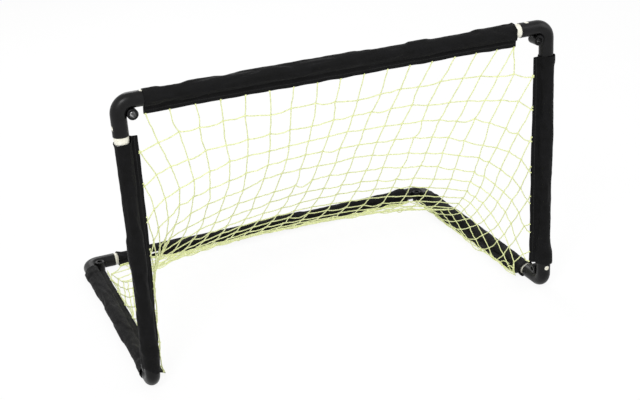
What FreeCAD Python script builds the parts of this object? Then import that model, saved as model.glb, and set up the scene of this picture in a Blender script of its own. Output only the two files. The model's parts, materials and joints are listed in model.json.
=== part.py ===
"""Folding net goal: a hinged front frame over a ground frame, with fabric sleeves and a net.

Frame: +X to the goal's left-to-right, +Y towards the back, +Z up. The origin is on the ground
under the middle of the object's bounding box. Everything is in millimetres.
"""
import FreeCAD, Part
import math
import os
from FreeCAD import Vector

os.makedirs("parts", exist_ok=True)

# ---- driving dimensions -------------------------------------------------------------
WIDTH = 885.0  # between the centre lines of the two uprights
HEIGHT = 576.0  # from the ground tubes' centre line to the crossbar's
DEPTH = 594.0  # from the uprights' centre line to the rear bar's

TUBE_OD = 25.0
TUBE_WALL = 1.5

ELBOW_OD = 30.0
ELBOW_WALL = 2.3  # of each leg, where a ferrule sits
ELBOW_LEG = 64.0  # from the corner of the centre lines to the rim
BORE_STEP = 1.7  # the bend's bore is this much smaller all round, which stops the ferrule
SHOULDER_PAST_BEND = 4.0  # from the end of the bend to that step
RIM_FILLET = 1.0
FOOT_FLAT = 0.4  # depth of the flat moulded under each ground elbow
GATE_R = 1.8  # ball that leaves the moulding gate's dimple on the outer corner

EYE_OD = 21.0  # round boss in the inside corner of each elbow
EYE_NEST = 1.5  # how far it sinks into each leg
EYE_LENGTH = 26.0
EYE_BORE = 12.0  # takes a ground peg or a tie
EYE_LIP = 1.0  # raised ring around the bore, at both ends
EYE_LIP_WALL = 1.6
EYE_FILLET = 0.8

TONGUE_WIDTH = 6.0  # middle knuckle of a hinge elbow, on the upper half
KNUCKLE_GAP = 0.3  # between knuckles, and around them
MITRE_GAP = 0.3  # between the two halves' mitred faces
RIVET_OD = 12.0
RIVET_WALL = 1.5
RIVET_LIP = 1.8  # how far its head stands out all round
RIVET_HEAD_THICK = 1.0
RIVET_FIT = 0.05  # radial, barrel in its knuckles

FERRULE_FIT = 0.1  # radial, ferrule in elbow and in tube
FERRULE_WALL = 1.9  # of the plug in the tube
FERRULE_SEAT = 0.3  # between the ferrule's end and the elbow's shoulder
COLLAR_INSET = 1.0  # how far its side lies inside the elbow's, all round
COLLAR_LENGTH = 12.5
PLUG_LENGTH = 24.0  # of the ferrule inside the tube

BUTTON_IN = 17.0  # from an elbow's rim to the snap button's centre
HINGE_BUTTON_IN = 26.0  # the same on a hinge elbow's upright leg
BUTTON_OD = 10.6
BUTTON_FIT = 0.2  # radial, button in its hole
BUTTON_SINK = 0.6  # its top, below the elbow's surface
BUTTON_DIMPLE = 4.4
BUTTON_DIMPLE_DEPTH = 1.2
BUTTON_LIP = 1.0  # how far its flange stands out all round
BUTTON_FLANGE_THICK = 1.4
BUTTON_STOP = 0.12  # between its flange and the ferrule's bore
BUTTON_ROUNDING = 0.9
SPRING_THICK = 0.6
SPRING_WIDTH = 7.0
SPRING_REACH = 22.0  # from the button to the far side of the spring's bend
SPRING_TIP = 6.0  # from the button's centre to the free tip
SPRING_SEAT = 0.1  # between spring and button flange
SPRING_FLOOR = 0.3  # between spring and the ferrule's far wall

CLOTH_GAP = 0.3  # between a sleeve and what it covers
CLOTH = 0.7  # one layer of a sleeve
FLAP = 18.0  # width of the two-layer flap beyond the sleeve's round
COVER_GAP = 1.0  # a sleeve's wide end runs this far past the collar

NET_SHEET = 0.8  # the net's thickness, as plain sheets
NET_GAP = 0.4  # between a net's edge and the flap that it is sewn to
TAG_WIDTH = 25.0
TAG_DEPTH = 14.0
TAG_THICK = 0.6
TAG_AT = 158.0  # from the rear left corner

# ---- sizes worked out from those ------------------------------------------------------
X, Y, Z = Vector(1, 0, 0), Vector(0, 1, 0), Vector(0, 0, 1)
ELBOW_R = ELBOW_OD / 2
EYE_R = EYE_OD / 2
BEND_R = ELBOW_R + EYE_R - EYE_NEST  # of the centre line in the bend
ELBOW_BORE = ELBOW_OD - 2 * ELBOW_WALL
BEND_BORE = ELBOW_BORE - 2 * BORE_STEP
SHOULDER = BEND_R + SHOULDER_PAST_BEND  # from the corner to the step in the bore
RIVET_BORE = RIVET_OD - 2 * RIVET_WALL
RIVET_HEAD = RIVET_OD + 2 * RIVET_LIP
PLUG_R = TUBE_OD / 2 - TUBE_WALL - FERRULE_FIT
FERRULE_BORE = 2 * (PLUG_R - FERRULE_WALL)
COLLAR_OD = ELBOW_OD - 2 * COLLAR_INSET
BUTTON_AT = ELBOW_LEG - BUTTON_IN
HINGE_BUTTON_AT = ELBOW_LEG - HINGE_BUTTON_IN
BUTTON_HOLE = BUTTON_OD + 2 * BUTTON_FIT
BUTTON_FLANGE = BUTTON_OD + 2 * BUTTON_LIP
AXIS_Z = ELBOW_R - FOOT_FLAT  # height of the ground tubes' centre line
TOP_Z = AXIS_Z + HEIGHT
FRONT_Y, REAR_Y = -DEPTH / 2, DEPTH / 2
SIDE_X = WIDTH / 2
COLLAR_END = ELBOW_LEG + COLLAR_LENGTH
SLEEVE_R = TUBE_OD / 2 + CLOTH_GAP + CLOTH  # outside of a sleeve on a tube
COVER_R = ELBOW_R + CLOTH_GAP + CLOTH  # outside of a sleeve on an elbow
FLAP_EDGE = SLEEVE_R + FLAP
EYE_REACH = BEND_R + EYE_R  # how far an eye reaches from its corner, along a leg
BEYOND = 4 * ELBOW_OD  # longer than any cut has to be

CORNER = {
    "top_left": Vector(-SIDE_X, FRONT_Y, TOP_Z),
    "top_right": Vector(SIDE_X, FRONT_Y, TOP_Z),
    "front_left": Vector(-SIDE_X, FRONT_Y, AXIS_Z),
    "front_right": Vector(SIDE_X, FRONT_Y, AXIS_Z),
    "rear_left": Vector(-SIDE_X, REAR_Y, AXIS_Z),
    "rear_right": Vector(SIDE_X, REAR_Y, AXIS_Z),
}
# Each one-piece elbow: the directions of its two legs, and whether it stands on the ground.
ELBOWS = {
    "top_left": (X, -Z, False),
    "top_right": (-X, -Z, False),
    "rear_left": (-Y, X, True),
    "rear_right": (-Y, -X, True),
}
# Each bar: its two corners, the way its flap points, how far past the first corner's eye its
# sleeve starts and before the second's it ends, and each end's name and button place and side.
BARS = {
    "crossbar": (
        "top_left", "top_right", -Z, 12.5, 38.5,
        [("left", BUTTON_AT, Z), ("right", BUTTON_AT, Z)],
    ),
    "left_upright": (
        "front_left", "top_left", X, 1.5, 32.5,
        [("bottom", HINGE_BUTTON_AT, -Y), ("top", BUTTON_AT, -X)],
    ),
    "right_upright": (
        "front_right", "top_right", -X, 13.5, 25.5,
        [("bottom", HINGE_BUTTON_AT, -Y), ("top", BUTTON_AT, X)],
    ),
    "left_side": (
        "front_left", "rear_left", X, 5.5, 12.5,
        [("front", BUTTON_AT, -Z), ("rear", BUTTON_AT, -X)],
    ),
    "right_side": (
        "front_right", "rear_right", -X, 31.5, 5.5,
        [("front", BUTTON_AT, -Z), ("rear", BUTTON_AT, X)],
    ),
    "rear_bar": (
        "rear_left", "rear_right", -Y, 35.5, 15.5,
        [("left", BUTTON_AT, Y), ("right", BUTTON_AT, Y)],
    ),
}


def save(shape, node):
    shape.exportStep("parts/" + node + ".step")


def rod(start, along, radius, length):
    return Part.makeCylinder(radius, length, start, along)


def cross_rod(middle, along, radius, length):
    """A rod of the given length with its middle at a point."""
    return rod(middle - along * (length / 2), along, radius, length)


def block(start, *edges):
    """A box from a corner point and its three edge vectors."""
    a, b, c = edges
    outline = [start, start + a, start + a + b, start + b, start]
    return Part.Face(Part.makePolygon(outline)).extrude(c)


def fuse(shapes):
    return shapes[0].multiFuse(shapes[1:]).removeSplitter()


def one_solid(shape):
    solids = shape.Solids
    if len(solids) != 1 or not solids[0].isValid():
        raise ValueError("expected one valid solid, found %d" % len(solids))
    return solids[0]


def circles(shape, centres, radius):
    """The full or part circular edges with that radius around any of those points."""
    found = []
    for edge in shape.Edges:
        curve = edge.Curve
        if isinstance(curve, Part.Circle) and abs(curve.Radius - radius) < 1e-4:
            if any(curve.Center.distanceToPoint(c) < 1e-3 for c in centres):
                found.append(edge)
    return found


# ---- elbows -----------------------------------------------------------------------------
def bend(corner, a, b, radius):
    """A quarter turn of a round rod, from the leg along a to the leg along b."""
    circle = Part.Circle(corner + a * BEND_R, a, radius).toShape()
    centre = corner + (a + b) * BEND_R
    return Part.Face(Part.Wire(circle)).revolve(centre, b.cross(a), 90)


def run(corner, a, b, radius, length):
    """The bend with a straight leg each way, out to that length from the corner."""
    legs = [rod(corner + d * BEND_R, d, radius, length - BEND_R) for d in (a, b)]
    return fuse([bend(corner, a, b, radius)] + legs)


def rimmed_run(corner, a, b):
    """The elbow's outside, with its two rims rounded."""
    outside = run(corner, a, b, ELBOW_R, ELBOW_LEG)
    rims = circles(outside, [corner + d * ELBOW_LEG for d in (a, b)], ELBOW_R)
    return outside.makeFillet(RIM_FILLET, rims)


def bores(corner, a, b, a_button, b_button):
    """What is cut out of an elbow: its bores, and a snap button's hole in each leg."""
    cuts = [run(corner, a, b, BEND_BORE / 2, SHOULDER + 1)]
    for d, other, at in ((a, b, a_button), (b, a, b_button)):
        start = corner + d * SHOULDER
        cuts.append(rod(start, d, ELBOW_BORE / 2, ELBOW_LEG - SHOULDER + 1))
        cuts.append(rod(corner + d * at, -other, BUTTON_HOLE / 2, BEYOND))
    return cuts


def foot(corner):
    """The slab under a ground elbow that leaves its flat foot."""
    span = 2 * BEYOND
    start = corner + Vector(-BEYOND, -BEYOND, -AXIS_Z - ELBOW_OD)
    return block(start, X * span, Y * span, Z * ELBOW_OD)


def round_eye(centre, across):
    """The boss in an elbow's inside corner, with its two ends rounded."""
    eye = cross_rod(centre, across, EYE_R, EYE_LENGTH)
    ends = [centre + across * (side * EYE_LENGTH / 2) for side in (-1, 1)]
    return eye.makeFillet(EYE_FILLET, circles(eye, ends, EYE_R))


def elbow(corner, a, b, on_ground):
    """A one-piece elbow with its eye in the inside corner."""
    across = a.cross(b)
    centre = corner + (a + b) * BEND_R
    lip_r = EYE_BORE / 2 + EYE_LIP_WALL
    lip = cross_rod(centre, across, lip_r, EYE_LENGTH + 2 * EYE_LIP)
    body = fuse([rimmed_run(corner, a, b), round_eye(centre, across), lip])
    outward = -(a + b).normalize()
    cuts = bores(corner, a, b, BUTTON_AT, BUTTON_AT)
    cuts.append(cross_rod(centre, across, EYE_BORE / 2, EYE_LENGTH + BEYOND))
    cuts.append(Part.makeSphere(GATE_R, centre + outward * (BEND_R + ELBOW_R + 1)))
    if on_ground:
        cuts.append(foot(corner))
    return one_solid(body.cut(cuts))


def hinge_halves(corner):
    """The elbow at a front corner, mitred and pinned at its eye: (lower, upper) half.

    It is made with its legs along X and -Z, and then turned so that they lie along Y and Z.
    """
    origin = Vector(0, 0, 0)
    a, b = X, -Z
    across = a.cross(b)
    centre = (a + b) * BEND_R
    mitre = (b - a).normalize()
    tongue = TONGUE_WIDTH / 2
    cheek = tongue + KNUCKLE_GAP
    sweep_r = EYE_R + KNUCKLE_GAP
    outside = rimmed_run(origin, a, b)
    hollow = bores(origin, a, b, BUTTON_AT, HINGE_BUTTON_AT)
    pin = cross_rod(centre, across, RIVET_OD / 2 + RIVET_FIT, BEYOND)

    above = rod(centre - mitre * (MITRE_GAP / 2), mitre, BEYOND, BEYOND)
    slot = cross_rod(centre, across, sweep_r, 2 * cheek)
    cheeks = round_eye(centre, across).cut(cross_rod(centre, across, BEYOND, 2 * cheek))
    lower = outside.cut([above, slot] + hollow).fuse(cheeks).cut(pin)

    below = rod(centre + mitre * (MITRE_GAP / 2), -mitre, BEYOND, BEYOND)
    slots = [rod(centre + d * tongue, d, sweep_r, BEYOND) for d in (across, -across)]
    middle = cross_rod(centre, across, EYE_R, TONGUE_WIDTH)
    upper = outside.cut([below] + slots + hollow).fuse(middle).cut(pin)

    turned = []
    for half in (lower, upper):
        half = half.copy()
        half.rotate(origin, X + Y, 180)
        half.translate(corner)
        turned.append(half)
    lower, upper = turned
    return one_solid(lower.cut(foot(corner))), one_solid(upper)


def hinge_rivet(corner):
    """The hollow rivet that pins a hinge elbow's knuckles."""
    centre = corner + (Y + Z) * BEND_R
    barrel = cross_rod(centre, X, RIVET_OD / 2, EYE_LENGTH)
    heads = [
        rod(centre + d * (EYE_LENGTH / 2), d, RIVET_HEAD / 2, RIVET_HEAD_THICK)
        for d in (X, -X)
    ]
    body = fuse([barrel] + heads)
    return one_solid(body.cut(cross_rod(centre, X, RIVET_BORE / 2, BEYOND)))


# ---- what joins a tube to its elbow --------------------------------------------------
def ferrule(corner, d, button_at, outward):
    """Nylon insert: spigot in the elbow, collar between, plug in the tube."""
    spigot_from = SHOULDER + FERRULE_SEAT
    spigot_r = ELBOW_BORE / 2 - FERRULE_FIT
    parts = [
        rod(corner + d * spigot_from, d, spigot_r, ELBOW_LEG - spigot_from),
        rod(corner + d * ELBOW_LEG, d, COLLAR_OD / 2, COLLAR_LENGTH),
        rod(corner + d * COLLAR_END, d, PLUG_R, PLUG_LENGTH),
    ]
    hole = rod(corner + d * button_at, outward, BUTTON_HOLE / 2, BEYOND)
    bore = rod(corner, d, FERRULE_BORE / 2, COLLAR_END + PLUG_LENGTH + 1)
    return one_solid(fuse(parts).cut([hole, bore]))


def flange_top():
    """How far the button's flange stands off the leg's centre line, at its stop."""
    half = BUTTON_FLANGE / 2
    return math.sqrt((FERRULE_BORE / 2) ** 2 - half**2) - BUTTON_STOP


def snap_button(corner, d, button_at, outward):
    """Button through the elbow's wall, with a flange that stops inside the ferrule."""
    axis_point = corner + d * button_at
    low = flange_top() - BUTTON_FLANGE_THICK
    top = ELBOW_R - BUTTON_SINK
    stem = rod(axis_point + outward * low, outward, BUTTON_OD / 2, top - low)
    crown = axis_point + outward * top
    stem = stem.makeFillet(BUTTON_ROUNDING, circles(stem, [crown], BUTTON_OD / 2))
    flange = rod(axis_point + outward * low, outward, BUTTON_FLANGE / 2, BUTTON_FLANGE_THICK)
    dimple = rod(crown - outward * BUTTON_DIMPLE_DEPTH, outward, BUTTON_DIMPLE / 2, BEYOND)
    return one_solid(fuse([stem, flange]).cut(dimple))


def snap_spring(corner, d, button_at, outward):
    """Bent leaf that pushes the button out, resting on the ferrule's far wall."""
    half = SPRING_WIDTH / 2
    floor = -math.sqrt((FERRULE_BORE / 2) ** 2 - half**2) + SPRING_FLOOR
    low = floor + SPRING_THICK / 2
    high = flange_top() - BUTTON_FLANGE_THICK - SPRING_SEAT - SPRING_THICK / 2
    turn_r = (high - low) / 4
    turn_at = button_at + SPRING_REACH - turn_r
    middle = low + turn_r
    path = [(button_at - SPRING_TIP, high), (button_at + SPRING_TIP, high)]
    steps = 8
    for i in range(steps + 1):
        angle = math.pi / 2 - math.pi * i / steps
        path.append((turn_at + turn_r * math.cos(angle), middle + turn_r * math.sin(angle)))
    path.append((button_at - SPRING_TIP, low))
    sides = ([], [])
    for i, (s, h) in enumerate(path):
        before, after = path[max(i - 1, 0)], path[min(i + 1, len(path) - 1)]
        ds, dh = after[0] - before[0], after[1] - before[1]
        size = SPRING_THICK / 2 / math.hypot(ds, dh)
        for side, sign in zip(sides, (1, -1)):
            side.append((s - sign * dh * size, h + sign * ds * size))
    outline = sides[0] + sides[1][::-1]
    across = d.cross(outward)
    points = [corner + d * s + outward * h - across * half for s, h in outline]
    face = Part.Face(Part.makePolygon(points + points[:1]))
    return one_solid(face.extrude(across * SPRING_WIDTH))


# ---- soft pieces ---------------------------------------------------------------------
def sleeve(start, d, length, flap_way, first, last):
    """Fabric tube around a bar, wider where it runs over an elbow, with its sewn flap.

    Under a ground elbow the fabric is pressed aside, so that the elbow stands on its foot.
    """
    covered = length - first - last
    begin = start + d * first
    wide_to = COLLAR_END + COVER_GAP

    def rounds(thinner):
        shapes = [rod(begin, d, SLEEVE_R - thinner, covered)]
        if first < wide_to:
            shapes.append(rod(begin, d, COVER_R - thinner, wide_to - first))
        if last < wide_to:
            end = start + d * (length - last)
            shapes.append(rod(end, -d, COVER_R - thinner, wide_to - last))
        return fuse(shapes)

    across = d.cross(flap_way)
    flap = block(begin - across * CLOTH, d * covered, flap_way * FLAP_EDGE, across * (2 * CLOTH))
    feet = [foot(start), foot(start + d * length)] if start.z == AXIS_Z else []
    return one_solid(fuse([rounds(0), flap]).cut([rounds(CLOTH)] + feet))


def goal_net():
    """The net as thin flat sheets, the sloping back and the two side triangles, clear of the eyes."""
    side_x = SIDE_X - FLAP_EDGE - NET_GAP - NET_SHEET
    top_z = TOP_Z - FLAP_EDGE - NET_GAP
    rear_y = REAR_Y - FLAP_EDGE - NET_GAP
    low_z = AXIS_Z
    front, back = Vector(0, FRONT_Y, top_z), Vector(0, rear_y, low_z)
    slope = back - front
    thick = slope.cross(X).normalize() * NET_SHEET
    sheets = [block(front - X * side_x, X * (2 * side_x), slope, thick)]
    for x in (-side_x, side_x - NET_SHEET):
        points = [front, Vector(0, FRONT_Y, low_z), back, front]
        face = Part.Face(Part.makePolygon([p + X * x for p in points]))
        sheets.append(face.extrude(X * NET_SHEET))
    clear = EYE_R + NET_GAP
    eyes = [
        cross_rod(CORNER[name] + (a + b) * BEND_R, a.cross(b), clear, EYE_LENGTH + 2 * EYE_LIP)
        for name, (a, b, on_ground) in ELBOWS.items()
    ]
    return one_solid(fuse(sheets).cut(eyes))


def blank_tag():
    """Plain fabric label on the rear flap."""
    low = CORNER["rear_left"] + X * (TAG_AT - TAG_WIDTH / 2) + Z * (CLOTH + CLOTH_GAP)
    low = low - Y * (FLAP_EDGE - 1)
    return block(low, X * TAG_WIDTH, Y * TAG_DEPTH, Z * TAG_THICK)


# ---- the assembly ------------------------------------------------------------------------
for name, (a, b, on_ground) in ELBOWS.items():
    save(elbow(CORNER[name], a, b, on_ground), name + "_elbow")

for side in ("left", "right"):
    corner = CORNER["front_" + side]
    lower, upper = hinge_halves(corner)
    save(lower, side + "_hinge_lower")
    save(upper, side + "_hinge_upper")
    save(hinge_rivet(corner), side + "_hinge_rivet")

springs = {"front": [], "ground": []}
for bar, (first, second, flap_way, past_first, before_second, ends) in BARS.items():
    start, stop = CORNER[first], CORNER[second]
    length = start.distanceToPoint(stop)
    d = (stop - start).normalize()
    tube_length = length - 2 * COLLAR_END
    tube = rod(start + d * COLLAR_END, d, TUBE_OD / 2, tube_length)
    inside = rod(start, d, TUBE_OD / 2 - TUBE_WALL, length)
    save(one_solid(tube.cut(inside)), bar + "_tube")
    bare = (EYE_REACH + past_first, EYE_REACH + before_second)
    save(sleeve(start, d, length, flap_way, *bare), bar + "_sleeve")
    frame = "front" if second.startswith("top") else "ground"
    for (end, button_at, outward), corner, way in zip(ends, (start, stop), (d, -d)):
        node = bar + "_" + end
        save(ferrule(corner, way, button_at, outward), node + "_ferrule")
        save(snap_button(corner, way, button_at, outward), node + "_snap_button")
        springs[frame].append(snap_spring(corner, way, button_at, outward))

for frame, solids in springs.items():
    save(Part.makeCompound(solids), frame + "_snap_springs")

save(goal_net(), "goal_net")
save(blank_tag(), "blank_tag")
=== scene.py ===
import json
import math
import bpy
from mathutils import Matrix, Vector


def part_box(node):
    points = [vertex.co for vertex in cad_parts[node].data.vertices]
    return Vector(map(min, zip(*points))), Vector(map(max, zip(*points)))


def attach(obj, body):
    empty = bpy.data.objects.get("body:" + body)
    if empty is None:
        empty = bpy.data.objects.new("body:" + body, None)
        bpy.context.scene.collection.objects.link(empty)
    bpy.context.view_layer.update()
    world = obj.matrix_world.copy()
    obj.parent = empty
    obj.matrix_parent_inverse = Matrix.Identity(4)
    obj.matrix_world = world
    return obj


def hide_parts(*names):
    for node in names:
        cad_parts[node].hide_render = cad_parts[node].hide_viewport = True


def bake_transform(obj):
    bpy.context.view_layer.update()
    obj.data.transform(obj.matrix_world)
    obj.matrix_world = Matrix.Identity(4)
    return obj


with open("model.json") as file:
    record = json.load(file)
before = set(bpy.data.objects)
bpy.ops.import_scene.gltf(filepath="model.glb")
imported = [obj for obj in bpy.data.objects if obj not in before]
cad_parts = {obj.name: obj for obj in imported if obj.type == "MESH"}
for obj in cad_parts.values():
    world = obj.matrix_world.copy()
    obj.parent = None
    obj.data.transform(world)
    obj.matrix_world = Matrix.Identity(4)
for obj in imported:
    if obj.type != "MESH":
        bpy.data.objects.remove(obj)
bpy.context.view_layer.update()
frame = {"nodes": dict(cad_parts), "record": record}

from types import SimpleNamespace

import bmesh
import bpy
import numpy as np
from mathutils import Matrix, Vector, noise

noise.seed_set(7)  # noise_vector follows it, so every run makes the same net

X, Y, Z = Vector((1, 0, 0)), Vector((0, 1, 0)), Vector((0, 0, 1))
MM = 0.001

# Each bar: its direction, the way its flap points, how far the flap has turned about the bar
# at its start and at its end, in degrees, and how far the round's hem is pulled back there.
BARS = {
    "crossbar": (X, -Z, (4, -6), (0, 3 * MM)),
    "left_upright": (Z, X, (46, 3), (0, 9.5 * MM)),
    "right_upright": (Z, -X, (-22, 6), (0, 0)),
    "left_side": (Y, X, (14, 6), (0, 0)),
    "right_side": (Y, -X, (-6, -14), (0, 0)),
    "rear_bar": (X, -Y, (8, 14), (0, 0)),
}
OVERHANG = 13 * MM  # of the left upright's cloth, down the front of its hinge
HEM_RUN = 40 * MM  # how far from a sleeve's end its hem pulls on the cloth
CLOTH = 0.5 * MM  # one layer of a sleeve
FLAP = 18 * MM  # of a flap, beyond the sleeve's round
TUBE_ROUND = 13.1 * MM  # inside a sleeve's round on its tube
ELBOW_ROUND = 15.5 * MM  # the same where it covers an elbow or a collar
STITCH_IN = 7.5 * MM  # from a flap's edge to its stitch line
SLEEVE_GIRTH = 2 * math.pi * TUBE_ROUND + 2 * FLAP
FLOOR_CLEAR = 0.4 * MM  # lowest place of a ground bar's cloth
NET_CLEAR = 3 * MM  # lowest place of a knot
OPENING = 0.16  # radians from a flap's middle to where each of its layers meets the round
THREAD = 0.9 * MM  # of the sleeves' weave
STITCH = 3.2 * MM  # one stitch and its gap
STITCH_WIDTH = 1 * MM
PITCH = 48.2 * MM  # of the net's squares
TWINE = 2.3 * MM
SEW_IN = 3 * MM  # from a sleeve's end to the nearest place where the net is sewn
CROSSBAR_SHIFT = 14 * MM  # of the net's sewn loops along the crossbar
KNOT = 2.4 * MM  # radius
KNOT_WEIGHT = 1.5 * MM  # of each knot, as a stretch of one cord
SLACK_BELOW = 60 * MM  # the height under which the net is slack
SLACK_FADE = 330 * MM  # from there up to where it is tight
SLACK_SHARE = 0.12  # how much of a tight net's pull from the sides a slack one keeps


# ---- camera and light -----------------------------------------------------------------
def make_camera():
    yaw, pitch, roll = (math.radians(a) for a in (20.96, 22.92, -3.79))
    ahead = Vector((math.sin(yaw) * math.cos(pitch), math.cos(yaw) * math.cos(pitch), -math.sin(pitch)))
    level = Vector((math.cos(yaw), -math.sin(yaw), 0))
    upward = level.cross(ahead)
    right = level * math.cos(roll) + upward * math.sin(roll)
    up = upward * math.cos(roll) - level * math.sin(roll)
    data = bpy.data.cameras.new("camera")
    data.lens = 67.71
    data.sensor_width = 36
    camera = bpy.data.objects.new("camera", data)
    turn = Matrix((right, up, -ahead)).transposed().to_4x4()
    camera.matrix_world = Matrix.Translation((-0.847, -2.3273, 1.24)) @ turn
    bpy.context.scene.collection.objects.link(camera)
    bpy.context.scene.camera = camera


def area_light(name, place, target, size, power):
    data = bpy.data.lights.new(name, "AREA")
    data.size = size
    data.energy = power
    lamp = bpy.data.objects.new(name, data)
    lamp.location = place
    lamp.rotation_euler = (Vector(target) - Vector(place)).to_track_quat("-Z", "Y").to_euler()
    bpy.context.scene.collection.objects.link(lamp)


def seen_rays(tree):
    """1 for rays that show the background itself: straight from the camera, or by a mirror or glass."""
    path = tree.nodes.new("ShaderNodeLightPath")
    straight, mirrored, passed = (
        path.outputs[kind + " Ray"] for kind in ("Is Camera", "Is Glossy", "Is Transmission")
    )
    return maths(tree, "MAXIMUM", straight, maths(tree, "MAXIMUM", mirrored, passed))


def make_studio():
    scene = bpy.context.scene
    scene.view_settings.view_transform = "Standard"
    world = bpy.data.worlds.new("studio")
    scene.world = world
    world.use_nodes = True
    tree = world.node_tree
    tree.nodes.clear()
    out = tree.nodes.new("ShaderNodeOutputWorld")
    mix = tree.nodes.new("ShaderNodeMixShader")
    soft, white = (tree.nodes.new("ShaderNodeBackground") for _ in range(2))
    for node, strength in ((soft, 0.6), (white, 1.0)):
        node.inputs["Color"].default_value = (1, 1, 1, 1)
        node.inputs["Strength"].default_value = strength
    tree.links.new(seen_rays(tree), mix.inputs["Fac"])
    tree.links.new(soft.outputs[0], mix.inputs[1])
    tree.links.new(white.outputs[0], mix.inputs[2])
    tree.links.new(mix.outputs[0], out.inputs["Surface"])
    area_light("key", (-1.6, -2.2, 2.6), (0, 0, 0.25), 0.8, 60)
    area_light("fill", (2.2, -1.4, 1.8), (0, 0, 0.3), 1.8, 22)
    area_light("back", (0.3, 2.4, 2.2), (0, 0, 0.3), 1.5, 30)
    bm = bmesh.new()
    bmesh.ops.create_grid(bm, x_segments=1, y_segments=1, size=6)
    bmesh.ops.translate(bm, verts=bm.verts, vec=(0, 0, -0.3 * MM))
    floor = mesh_object("floor", bm)
    floor.data.materials.append(floor_paper())


# ---- node helpers ------------------------------------------------------------------------
def new_material(name, color, roughness, **sockets):
    """A material with a Principled shader; returns it with its tree and shader."""
    material = bpy.data.materials.new(name)
    material.use_nodes = True
    tree = material.node_tree
    shader = tree.nodes["Principled BSDF"]
    shader.inputs["Base Color"].default_value = (*color, 1)
    shader.inputs["Roughness"].default_value = roughness
    for socket, value in sockets.items():
        shader.inputs[socket.replace("_", " ")].default_value = value
    return material, tree, shader


def feed(tree, slot, value):
    """Link an output to a slot, or write a plain number on it."""
    if isinstance(value, (int, float)):
        slot.default_value = value
    else:
        tree.links.new(value, slot)


def maths(tree, operation, *values):
    node = tree.nodes.new("ShaderNodeMath")
    node.operation = operation
    for slot, value in zip(node.inputs, values):
        feed(tree, slot, value)
    return node.outputs[0]


def blend_colors(tree, factor, a, b):
    node = tree.nodes.new("ShaderNodeMix")
    node.data_type = "RGBA"
    tree.links.new(factor, node.inputs["Factor"])
    for slot, color in ((node.inputs["A"], a), (node.inputs["B"], b)):
        if isinstance(color, tuple):
            slot.default_value = (*color, 1)
        else:
            tree.links.new(color, slot)
    return node.outputs["Result"]


def bump(tree, shader, height, strength, distance):
    node = tree.nodes.new("ShaderNodeBump")
    node.inputs["Strength"].default_value = strength
    node.inputs["Distance"].default_value = distance
    tree.links.new(height, node.inputs["Height"])
    tree.links.new(node.outputs["Normal"], shader.inputs["Normal"])


def mottle_group():
    """Shared effect: cloudy colour and gloss, with a fine relief, at each material's own scale."""
    group = bpy.data.node_groups.new("mottle", "ShaderNodeTree")
    for name, kind in (
        ("Place", "NodeSocketVector"), ("Cloud Scale", "NodeSocketFloat"), ("Fine Scale", "NodeSocketFloat"),
        ("Dark", "NodeSocketColor"), ("Light", "NodeSocketColor"),
        ("Glossiest", "NodeSocketFloat"), ("Dullest", "NodeSocketFloat"),
    ):
        group.interface.new_socket(name=name, in_out="INPUT", socket_type=kind)
    for name, kind in (
        ("Color", "NodeSocketColor"), ("Roughness", "NodeSocketFloat"),
        ("Cloud", "NodeSocketFloat"), ("Relief", "NodeSocketFloat"),
    ):
        group.interface.new_socket(name=name, in_out="OUTPUT", socket_type=kind)
    given = group.nodes.new("NodeGroupInput").outputs
    result = group.nodes.new("NodeGroupOutput").inputs
    clouds, fine = (group.nodes.new("ShaderNodeTexNoise") for _ in range(2))
    for node, scale, detail in ((clouds, "Cloud Scale", 5), (fine, "Fine Scale", 2)):
        node.inputs["Detail"].default_value = detail
        group.links.new(given["Place"], node.inputs["Vector"])
        group.links.new(given[scale], node.inputs["Scale"])
    contrast = group.nodes.new("ShaderNodeMapRange")
    contrast.inputs["From Min"].default_value = 0.3
    contrast.inputs["From Max"].default_value = 0.7
    group.links.new(clouds.outputs["Fac"], contrast.inputs["Value"])
    cloud = contrast.outputs["Result"]
    group.links.new(blend_colors(group, cloud, given["Dark"], given["Light"]), result["Color"])
    gloss = group.nodes.new("ShaderNodeMapRange")
    group.links.new(cloud, gloss.inputs["Value"])
    group.links.new(given["Glossiest"], gloss.inputs["To Min"])
    group.links.new(given["Dullest"], gloss.inputs["To Max"])
    group.links.new(gloss.outputs["Result"], result["Roughness"])
    group.links.new(cloud, result["Cloud"])
    group.links.new(fine.outputs["Fac"], result["Relief"])
    return group


MOTTLE = mottle_group()


def mottled(name, scales, dark, light, gloss, relief, **sockets):
    """A material with the mottle effect on Object coordinates; relief is a bump's strength and depth."""
    material, tree, shader = new_material(name, light, gloss[0], **sockets)
    cell = tree.nodes.new("ShaderNodeGroup")
    cell.node_tree = MOTTLE
    place = tree.nodes.new("ShaderNodeTexCoord")
    tree.links.new(place.outputs["Object"], cell.inputs["Place"])
    cell.inputs["Cloud Scale"].default_value, cell.inputs["Fine Scale"].default_value = scales
    cell.inputs["Dark"].default_value = (*dark, 1)
    cell.inputs["Light"].default_value = (*light, 1)
    cell.inputs["Glossiest"].default_value, cell.inputs["Dullest"].default_value = gloss
    tree.links.new(cell.outputs["Color"], shader.inputs["Base Color"])
    tree.links.new(cell.outputs["Roughness"], shader.inputs["Roughness"])
    if relief:
        bump(tree, shader, cell.outputs["Relief"], *relief)
    return material, tree, shader, cell.outputs


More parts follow.
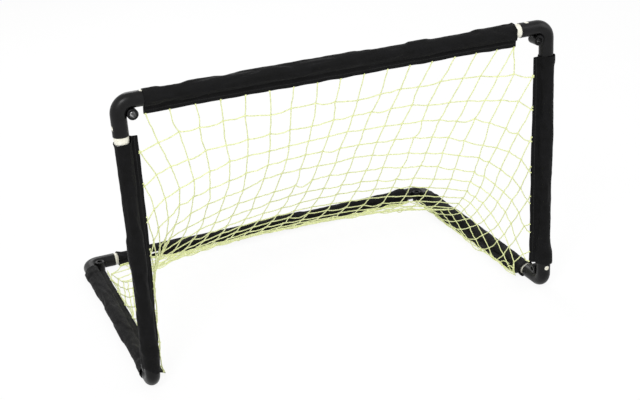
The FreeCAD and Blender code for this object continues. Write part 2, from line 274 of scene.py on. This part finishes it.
# ---- finishes ------------------------------------------------------------------------------
def floor_paper():
    """White paper: mostly its own white where it is seen, so that a pale shadow stays."""
    material, tree, shader, _ = mottled("floor_paper", (3, 60), (0.9,) * 3, (0.93,) * 3, (0.85, 0.95), None)
    white = tree.nodes.new("ShaderNodeEmission")
    mix = tree.nodes.new("ShaderNodeMixShader")
    tree.links.new(maths(tree, "MULTIPLY", seen_rays(tree), 0.9), mix.inputs["Fac"])
    tree.links.new(shader.outputs[0], mix.inputs[1])
    tree.links.new(white.outputs[0], mix.inputs[2])
    tree.links.new(mix.outputs[0], tree.nodes["Material Output"].inputs["Surface"])
    return material


def moulded_black():
    return mottled(
        "black_moulding", (45, 900), (0.004,) * 3, (0.008, 0.008, 0.0085), (0.24, 0.4), (0.2, 0.0003),
        Specular_IOR_Level=0.16,
    )[0]


def nylon():
    return mottled(
        "natural_nylon", (70, 600), (0.68, 0.66, 0.54), (0.86, 0.85, 0.76), (0.32, 0.5), (0.15, 0.0002)
    )[0]


def metal(name, dark, light):
    return mottled(name, (220, 700), dark, light, (0.25, 0.5), (0.1, 0.0002), Metallic=1.0)[0]


def tube_coat():
    return mottled(
        "tube_powder_coat", (90, 420), (0.7, 0.7, 0.67), (0.8, 0.8, 0.77), (0.38, 0.5), (0.2, 0.0003)
    )[0]


def net_twine():
    return mottled(
        "lime_twine", (160, 1400), (0.62, 0.68, 0.26), (0.84, 0.88, 0.48), (0.6, 0.8), (0.6, 0.0004),
        Sheen_Weight=0.2,
    )[0]


def label_cloth():
    return mottled(
        "white_label", (260, 900), (0.76, 0.76, 0.75), (0.9, 0.9, 0.89), (0.6, 0.75), (0.3, 0.0003)
    )[0]


def sleeve_cloth():
    """Thin black polyester; the UV map holds metres along the bar and around the girth."""
    material, tree, shader, mottle = mottled(
        "black_polyester", (60, 700), (0.003,) * 3, (0.0075, 0.0075, 0.008), (0.6, 0.82), None,
        Sheen_Weight=0.02, Sheen_Roughness=0.4, Specular_IOR_Level=0.09,
    )
    uv = tree.nodes.new("ShaderNodeUVMap")
    uv.uv_map = "cloth"
    split = tree.nodes.new("ShaderNodeSeparateXYZ")
    tree.links.new(uv.outputs["UV"], split.inputs[0])
    along, girth = split.outputs["X"], split.outputs["Y"]
    thread = 2 * math.pi / THREAD
    warp = maths(tree, "SINE", maths(tree, "MULTIPLY", along, thread))
    weft = maths(tree, "SINE", maths(tree, "MULTIPLY", girth, thread))
    weave = maths(tree, "MULTIPLY", warp, weft)
    beat = maths(tree, "SINE", maths(tree, "MULTIPLY", along, 2 * math.pi / STITCH))
    dashes = maths(tree, "GREATER_THAN", beat, -0.3)
    from_upper = maths(tree, "ABSOLUTE", maths(tree, "SUBTRACT", girth, STITCH_IN))
    from_lower = maths(tree, "ABSOLUTE", maths(tree, "SUBTRACT", girth, SLEEVE_GIRTH - STITCH_IN))
    on_line = maths(tree, "LESS_THAN", maths(tree, "MINIMUM", from_upper, from_lower), STITCH_WIDTH / 2)
    stitches = maths(tree, "MULTIPLY", on_line, dashes)
    color = blend_colors(tree, stitches, mottle["Color"], (0.03, 0.03, 0.03))
    tree.links.new(color, shader.inputs["Base Color"])
    height = maths(tree, "MULTIPLY_ADD", weave, 0.12, maths(tree, "MULTIPLY", mottle["Cloud"], 0.6))
    height = maths(tree, "MULTIPLY_ADD", stitches, 0.5, height)
    bump(tree, shader, height, 0.5, 0.001)
    return material


# ---- meshes --------------------------------------------------------------------------------
def mesh_object(name, bm):
    mesh = bpy.data.meshes.new(name)
    bm.to_mesh(mesh)
    bm.free()
    piece = bpy.data.objects.new(name, mesh)
    bpy.context.scene.collection.objects.link(piece)
    return piece


def smooth_step(value, low, high):
    t = min(max((value - low) / (high - low), 0), 1)
    return t * t * (3 - 2 * t)


# ---- how each sleeve lies ------------------------------------------------------------------
def bar_lay(bar, seed):
    """Where a bar's tube and sleeve run, and how the sleeve's flap points."""
    d, flap_way, turns, pulls = BARS[bar]
    tube_low, tube_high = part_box(bar + "_tube")
    low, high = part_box(bar + "_sleeve")
    middle = (tube_low + tube_high) / 2
    return SimpleNamespace(
        d=d, flap_way=flap_way, side=d.cross(flap_way), turns=turns, pulls=pulls, seed=seed,
        over=OVERHANG if bar == "left_upright" else 0,
        axis=middle - d * middle.dot(d), begin=low.dot(d), end=high.dot(d),
        tube_begin=tube_low.dot(d), tube_end=tube_high.dot(d),
    )


LAYS = {bar: bar_lay(bar, 1.7 + 3.3 * number) for number, bar in enumerate(BARS)}


def wander(lay, t):
    """At one place along a bar: the flap's extra reach, its wave, and its two directions."""
    slow = noise.noise(Vector((t * 11, lay.seed, 0.3)))
    quick = noise.noise(Vector((t * 34, lay.seed + 7, 0.9)))
    share = (t - lay.begin) / (lay.end - lay.begin)
    turn = math.radians(lay.turns[0] * (1 - share) + lay.turns[1] * share)
    out = lay.flap_way * math.cos(turn) + lay.side * math.sin(turn)
    across = lay.side * math.cos(turn) - lay.flap_way * math.sin(turn)
    return (2.4 * slow + 2.2 * quick) * MM, (5.5 * slow + 2.6 * quick) * MM, out, across


def flap_tip(lay, t):
    """The flap's edge at one place along a bar."""
    extra, wave, out, across = wander(lay, t)
    return lay.axis + out * (TUBE_ROUND + FLAP + extra) + across * wave + lay.d * t


def sleeve_section():
    """A sleeve's section, from one flap layer's edge round to the other's, with its girth."""
    flap_steps, round_steps = 6, 30
    section = []
    for i in range(flap_steps):
        share = 1 - i / flap_steps
        section.append(("upper", share, FLAP * (1 - share)))
    for i in range(round_steps + 1):
        turn = i / round_steps
        section.append(("round", turn, FLAP + 2 * math.pi * TUBE_ROUND * turn))
    for i in range(1, flap_steps + 1):
        share = i / flap_steps
        section.append(("lower", share, FLAP + 2 * math.pi * TUBE_ROUND + FLAP * share))
    return section


def hem_slide(lay, t, angle):
    """How far the cloth near a sleeve's ends slides along its bar, as its hem wanders."""
    wander_off = 2.2 * noise.noise(Vector((math.cos(angle) * 2, math.sin(angle) * 2, lay.seed))) * MM
    from_flap = smooth_step(abs(math.remainder(angle, 2 * math.pi)), 0.3, 0.9)
    front = max(-(lay.flap_way * math.cos(angle) + lay.side * math.sin(angle)).y, 0)
    at_start = max(1 - (t - lay.begin) / HEM_RUN, 0)
    at_end = max(1 - (lay.end - t) / HEM_RUN, 0)
    start_pull = wander_off + lay.pulls[0] * from_flap - lay.over * front
    return start_pull * at_start - (wander_off + lay.pulls[1] * from_flap) * at_end


def sleeve_point(lay, t, kind, value):
    """A point of a sleeve's surface, at one place along its bar and round its section."""
    angle = OPENING + (2 * math.pi - 2 * OPENING) * (value if kind == "round" else 0)
    if kind == "lower":
        angle = -OPENING
    t += hem_slide(lay, t, angle)
    covered = 1 - smooth_step(t, lay.tube_begin - 2 * MM, lay.tube_begin + 7 * MM)
    covered += smooth_step(t, lay.tube_end - 7 * MM, lay.tube_end + 2 * MM)
    radius = TUBE_ROUND + (ELBOW_ROUND - TUBE_ROUND) * covered
    extra, wave, out, across = wander(lay, t)
    if kind == "round":
        around = Vector((math.cos(angle), math.sin(angle), 0))
        crease = noise.noise(Vector((t * 85, around.x * 1.6 + lay.seed, around.y * 1.6)))
        pleat = noise.noise(Vector((t * 24, around.x * 2.3, around.y * 2.3 + lay.seed)))
        bunch = noise.noise(Vector((t * 13 + lay.seed * 5, around.x * 0.8, around.y * 0.8 + 4)))
        r = radius + (0.5 + 1.3 * abs(crease) + 1.8 * max(pleat, 0)) * MM
        r += 2.6 * smooth_step(bunch, 0.04, 0.16) * MM
        point = out * (r * around.x) + across * (r * around.y)
    else:
        sign = 1 if kind == "upper" else -1
        reach = radius + (FLAP + extra - (radius - TUBE_ROUND)) * value
        gap = (0.55 + 1.4 * (1 - value) ** 2) * MM
        point = out * reach + across * (sign * gap + wave * value)
    place = lay.axis + point + lay.d * t
    place.z = max(place.z, FLOOR_CLEAR)
    return place


def make_sleeve(bar, material):
    """A wrinkled fabric tube with its two-layer flap, open at both ends."""
    lay = LAYS[bar]
    section = sleeve_section()
    span = lay.end - lay.begin
    steps = round(span / (5 * MM))
    bm = bmesh.new()
    loops = bm.loops.layers.uv.new("cloth")
    coords = {}
    ring = []
    for kind, value, girth in section:
        vert = bm.verts.new(sleeve_point(lay, lay.begin, kind, value))
        coords[vert] = (lay.begin, girth)
        ring.append(vert)
    edges = [bm.edges.new(pair) for pair in zip(ring, ring[1:])]
    for step in range(1, steps + 1):
        t = lay.begin + span * step / steps
        result = bmesh.ops.extrude_edge_only(bm, edges=edges)["geom"]
        fresh = {g for g in result if isinstance(g, bmesh.types.BMVert)}
        edges = [g for g in result if isinstance(g, bmesh.types.BMEdge)]
        following = []
        for old, (kind, value, girth) in zip(ring, section):
            vert = next(e.other_vert(old) for e in old.link_edges if e.other_vert(old) in fresh)
            vert.co = sleeve_point(lay, t, kind, value)
            coords[vert] = (t, girth)
            following.append(vert)
        ring = following
    for face in bm.faces:
        face.smooth = True
        for loop in face.loops:
            loop[loops].uv = coords[loop.vert]
    hem_girths = (section[0][2], section[-1][2])
    hems = [v for v in bm.verts if coords[v][1] in hem_girths]
    bmesh.ops.remove_doubles(bm, verts=hems, dist=1e-6)
    bmesh.ops.recalc_face_normals(bm, faces=bm.faces)
    piece = mesh_object(bar + "_cloth", bm)
    piece.data.materials.append(material)
    thick = piece.modifiers.new("cloth", "SOLIDIFY")
    thick.thickness = CLOTH
    thick.offset = 0
    rounder = piece.modifiers.new("soft", "SUBSURF")
    rounder.levels = rounder.render_levels = 1
    bodies = frame["record"]["behaviour"]["bodies"]
    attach(piece, next(body for body, names in bodies.items() if bar + "_sleeve" in names))
    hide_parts(bar + "_sleeve")


# ---- the net -------------------------------------------------------------------------------
def lay_out_net():
    """The net as one grid, laid flat against the sloping back and folded round both sides.

    Returns the knots' places, the bar that each is sewn to, or None, and the cords.
    """
    low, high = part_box("goal_net")
    top = Vector((0, low.y, high.z))
    foot = Vector((0, high.y, low.z))
    corner = Vector((0, low.y, low.z))
    down = foot - top
    length = down.length
    down.normalize()
    inward = Vector((0, down.z, -down.y))
    rows = round(length / PITCH)
    columns = round((high.x - low.x) / PITCH)
    row_step = length / rows
    column_step = (high.x - low.x) / columns
    steep = math.tan(math.acos((corner - top).normalized().dot(down)))
    shallow = 1 / steep
    knots, holders, index, cords = [], [], {}, []

    def add(key, place, holder):
        index[key] = len(knots)
        knots.append(place)
        holders.append(holder)

    def add_sewn(key, knot, place, bar):
        add(key, place, bar)
        cords.append((knot, key))

    for j in range(rows + 1):
        for i in range(columns + 1):
            holder = {0: "crossbar", rows: "rear_bar"}.get(j)
            add((i, j), X * (low.x + i * column_step) + top + down * (j * row_step), holder)
            if holder is None and i:
                cords.append(((i - 1, j), (i, j)))
            if j:
                cords.append(((i, j - 1), (i, j)))
    for x, edge, way, side in ((low.x, 0, -1, "left"), (high.x, columns, 1, "right")):
        start = X * x + top
        for j in range(1, rows):
            s = j * row_step
            to_upright, to_ground = s * steep, (length - s) * shallow
            reach = min(to_upright, to_ground)
            count = math.ceil(reach / PITCH - 0.25) - 1
            for k in range(1, count + 1):
                add((edge + way * k, j), start + down * s + inward * (k * PITCH), None)
                cords.append(((edge + way * (k - 1), j), (edge + way * k, j)))
                if (edge + way * k, j - 1) in index and j > 1:
                    cords.append(((edge + way * k, j - 1), (edge + way * k, j)))
            if reach > 0.2 * PITCH:
                bar = side + ("_upright" if to_upright < to_ground else "_side")
                last = (edge + way * max(count, 0), j)
                add_sewn(("row", side, j), last, start + down * s + inward * reach, bar)
        for k in range(1, columns):
            depth = k * PITCH
            present = [j for j in range(1, rows) if (edge + way * k, j) in index]
            if not present:
                break
            ends = (
                (depth / steep, present[0], "_upright"),
                (length - depth / shallow, present[-1], "_side"),
            )
            for at, j, bar in ends:
                place = start + down * at + inward * depth
                add_sewn(("column", side, k, bar), (edge + way * k, j), place, side + bar)
    places = np.array([tuple(sew(p, bar)) for p, bar in zip(knots, holders)])
    pairs = np.array([(index[a], index[b]) for a, b in cords])
    return places, np.array([bar is not None for bar in holders]), pairs


def sew(place, bar):
    """Where a knot is sewn: on its bar's flap edge, within the sleeve's length."""
    if bar is None:
        return place
    lay = LAYS[bar]
    t = place.dot(lay.d) + (CROSSBAR_SHIFT if bar == "crossbar" else 0)
    return flap_tip(lay, min(max(t, lay.begin + SEW_IN), lay.end - SEW_IN))


def hang(places, held, pairs):
    """Balance the pull of the cords on each free knot with its weight."""
    pulls = [1 + 0.6 * noise.noise(Vector((n * 0.731, 0.4, 2.2))) for n in range(len(pairs))]
    grid = np.zeros((len(places), len(places)))
    for (a, b), pull in zip(pairs, pulls):
        grid[a, a] += pull
        grid[b, b] += pull
        grid[a, b] -= pull
        grid[b, a] -= pull
    free = ~held
    load = np.zeros((free.sum(), 3))
    load[:, 2] = -KNOT_WEIGHT
    hung = places.copy()
    hung[free] = np.linalg.solve(grid[np.ix_(free, free)], load - grid[np.ix_(free, held)] @ places[held])
    # Low down the net is slack, so it keeps nearer to the sides than a tight one would.
    tight = SLACK_SHARE + (1 - SLACK_SHARE) * np.clip((hung[:, 2] - SLACK_BELOW) / SLACK_FADE, 0, 1)
    hung[:, 0] = places[:, 0] + (hung[:, 0] - places[:, 0]) * tight
    hung[:, 2] = np.maximum(hung[:, 2], NET_CLEAR)
    return hung


def cord_mesh(paths, thickness):
    data = bpy.data.curves.new("twine", "CURVE")
    data.dimensions = "3D"
    data.bevel_depth = thickness / 2
    data.bevel_resolution = 1
    for path in paths:
        spline = data.splines.new("POLY")
        spline.points.add(len(path) - 1)
        for point, place in zip(spline.points, path):
            point.co = (*place, 1)
    holder = bpy.data.objects.new("twine", data)
    mesh = bpy.data.meshes.new_from_object(holder)
    bpy.data.objects.remove(holder)
    bpy.data.curves.remove(data)
    return mesh


def bowed(a, b, seed):
    """A cord between two knots, with the bow that its slack leaves."""
    a, b = Vector(a), Vector(b)
    lean = noise.noise_vector(Vector((seed * 0.37, 0.5, seed * 0.11)))
    slack = (1.2 + 8 * max(noise.noise(Vector((seed * 0.53, 3.1, 0.7))), 0)) * MM
    path = []
    for i in range(7):
        t = i / 6
        kink = noise.noise_vector(Vector((seed * 1.7, t * 3.5, 0.9))) * math.sin(math.pi * t)
        bow = (lean - Z * 0.7) * math.sin(math.pi * t) * slack + kink * (1.6 * MM)
        path.append(a.lerp(b, t) + bow)
    return path


def bunched_cords():
    """The slack of the net, gathered in wavy strands along the flaps of the ground bars."""
    paths = []
    for bar, strands, looseness in (("rear_bar", 4, 4.5), ("left_side", 2, 7), ("right_side", 3, 9)):
        lay = LAYS[bar]
        steps = round((lay.end - lay.begin) / (8 * MM))
        for strand in range(strands):
            path = []
            for i in range(steps + 1):
                t = lay.begin + (lay.end - lay.begin) * i / steps
                wobble = noise.noise_vector(Vector((t * 21, lay.seed + strand * 5.7, 0.2)))
                point = flap_tip(lay, t) + wobble * (looseness * MM) + lay.flap_way * (2 * MM)
                point.z = max(point.z, TWINE)
                path.append(point)
            paths.append(path)
    return paths


def loose_tails():
    """The two cut ends of twine that lie on the right side's sleeve."""
    lay = LAYS["right_side"]
    paths = []
    for t, over in ((lay.begin + 30 * MM, 12 * MM), (lay.begin + 62 * MM, 22 * MM)):
        root = flap_tip(lay, t)
        drop = -lay.d * over - lay.flap_way * (over * 0.4)
        lift = [Z * ((4 + 5 * math.sin(3 * share)) * MM) for share in (0, 0.3, 0.7, 1)]
        paths.append([root + drop * share + rise for share, rise in zip((0, 0.3, 0.7, 1), lift)])
    return paths


def make_net(material):
    places, held, pairs = lay_out_net()
    places = hang(places, held, pairs)
    paths = [bowed(places[a], places[b], n) for n, (a, b) in enumerate(pairs)]
    bm = bmesh.new()
    for mesh in (cord_mesh(paths, TWINE), cord_mesh(bunched_cords() + loose_tails(), TWINE * 0.9)):
        bm.from_mesh(mesh)
        bpy.data.meshes.remove(mesh)
    for n, place in enumerate(places):
        turn = Matrix.Rotation(n * 0.7, 4, Z) @ Matrix.Rotation(0.8 + n * 0.3, 4, X)
        stretch = Matrix.Diagonal((1.25, 0.95, 0.85, 1))
        bmesh.ops.create_icosphere(
            bm, subdivisions=1, radius=KNOT, matrix=Matrix.Translation(place) @ turn @ stretch,
        )
    for face in bm.faces:
        face.smooth = True
    net = mesh_object("net", bm)
    net.data.materials.clear()
    net.data.materials.append(material)
    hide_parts("goal_net")
    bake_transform(net)


def make_tag(material):
    low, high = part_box("blank_tag")
    bm = bmesh.new()
    bmesh.ops.create_grid(bm, x_segments=10, y_segments=6, size=0.5)
    for vert in bm.verts:
        u, v = vert.co.x, vert.co.y
        vert.co.x = (low.x + high.x) / 2 + u * (high.x - low.x)
        vert.co.y = (low.y + high.y) / 2 + v * (high.y - low.y)
        vert.co.z = high.z + (2.5 + 3.5 * (0.5 - v) * math.cos(2.2 * u)) * MM
    tag = mesh_object("tag", bm)
    tag.data.materials.append(material)
    thick = tag.modifiers.new("cloth", "SOLIDIFY")
    thick.thickness = 0.4 * MM
    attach(tag, "ground_frame")
    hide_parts("blank_tag")


# ---- the object ------------------------------------------------------------------------------
def finish_cad_nodes():
    finishes = {
        "elbow_plastic": moulded_black(),
        "insert_nylon": nylon(),
        "tube_steel": tube_coat(),
        "rivet_steel": metal("blackened_steel", (0.03, 0.03, 0.03), (0.1, 0.1, 0.1)),
        "spring_steel": metal("spring_steel", (0.35, 0.35, 0.36), (0.6, 0.6, 0.6)),
    }
    for part in frame["record"]["subparts"]:
        material = finishes.get(part["material_slot"])
        if material is None:
            continue
        node = frame["nodes"][part["node"]]
        node.data.materials.clear()
        node.data.materials.append(material)


make_camera()
make_studio()
finish_cad_nodes()
cloth = sleeve_cloth()
for bar in BARS:
    make_sleeve(bar, cloth)
make_net(net_twine())
make_tag(label_cloth())
